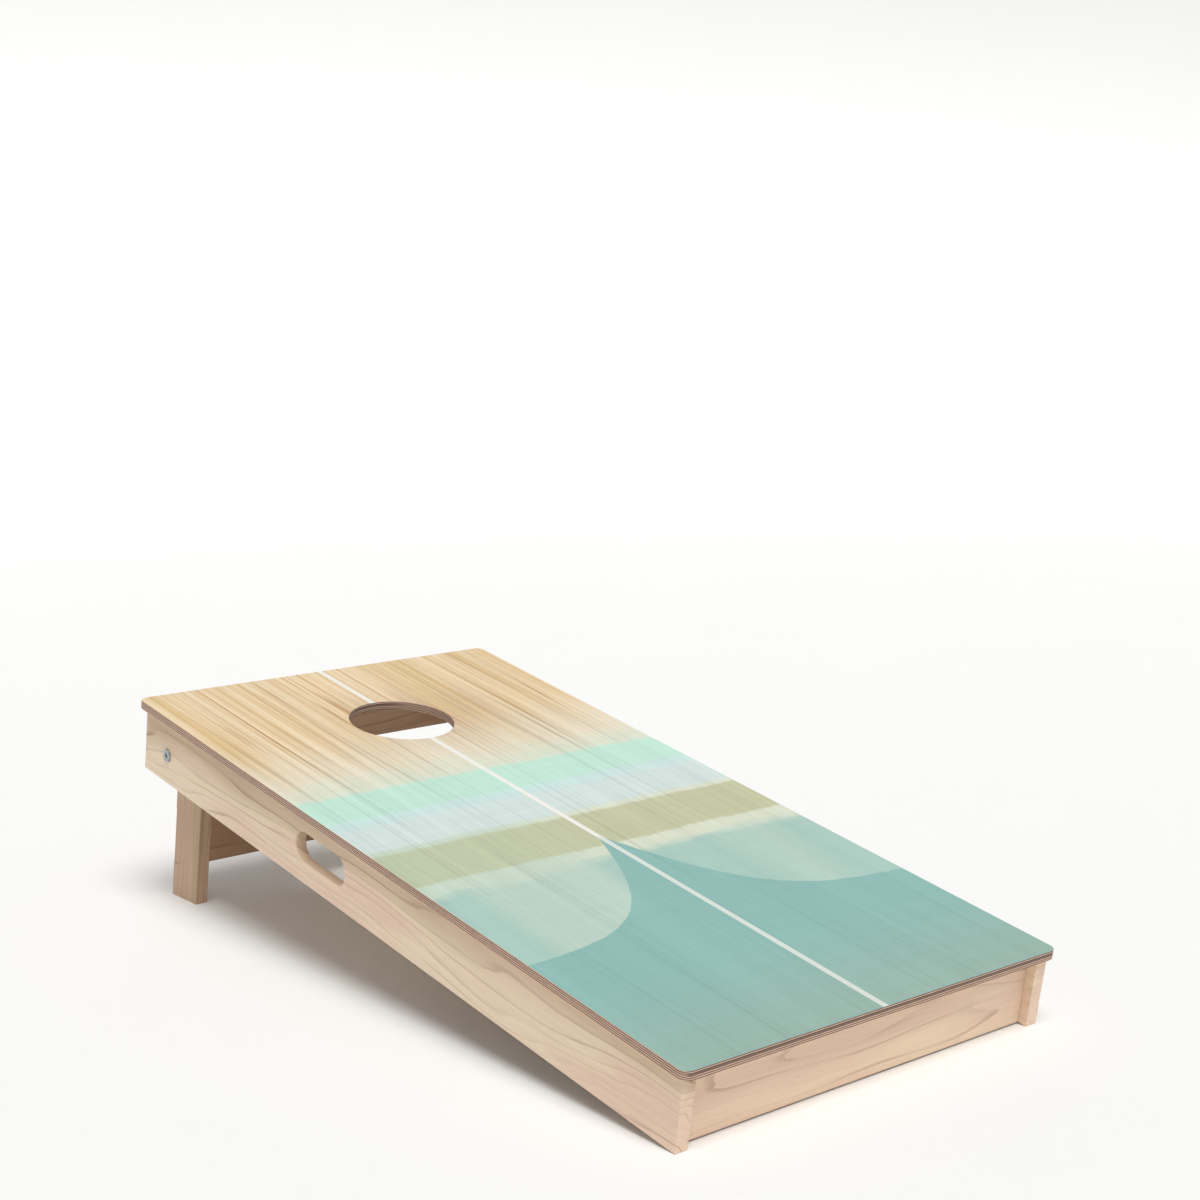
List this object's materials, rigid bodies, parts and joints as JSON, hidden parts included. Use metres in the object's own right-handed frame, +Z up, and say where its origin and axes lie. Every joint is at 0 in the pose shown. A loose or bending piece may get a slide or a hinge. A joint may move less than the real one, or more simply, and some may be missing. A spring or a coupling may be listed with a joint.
{
  "type": "cornhole board",
  "caption": "Sloping wooden target board for a bag-tossing game, with a round hole, hand slots in its side rails and a leg frame that folds up underneath.",
  "frame": {"origin": "on the ground, at the centre of the bounding box of the opened board", "axes": "+X to the right of a player who faces the board, +Y from the low front edge to the high rear edge, +Z up"},
  "size_m": [0.6, 1.1902, 0.2998],
  "materials": {
    "printed_plywood": "printed and satin lacquered, bare ply edges",
    "frame_wood": "planed and clear satin lacquered",
    "dowel_wood": "unfinished beech",
    "zinc_steel": "bright zinc plate",
    "nylon": "natural nylon"
  },
  "bodies": {
    "board": {"deck": "printed_plywood", "left_side_rail": "frame_wood", "right_side_rail": "frame_wood", "front_apron": "frame_wood", "rear_apron": "frame_wood", "frame_dowels": "dowel_wood", "deck_screws": "zinc_steel", "left_pivot_block": "frame_wood", "right_pivot_block": "frame_wood", "pivot_block_screws": "zinc_steel", "left_pivot_bolt": "zinc_steel", "right_pivot_bolt": "zinc_steel", "left_friction_washer": "nylon", "right_friction_washer": "nylon", "left_nut_washer": "zinc_steel", "right_nut_washer": "zinc_steel", "left_lock_nut": "zinc_steel", "right_lock_nut": "zinc_steel"},
    "leg_frame": {"left_leg": "frame_wood", "right_leg": "frame_wood", "leg_brace": "frame_wood", "brace_dowels": "dowel_wood"}
  },
  "joints": [
    {"name": "leg_fold", "type": "hinge", "parent": "board", "child": "leg_frame", "pos_m": [0, 0.52094, 0.22779], "axis": [-1, 0, 0], "range_deg": [0, 90]}
  ]
}
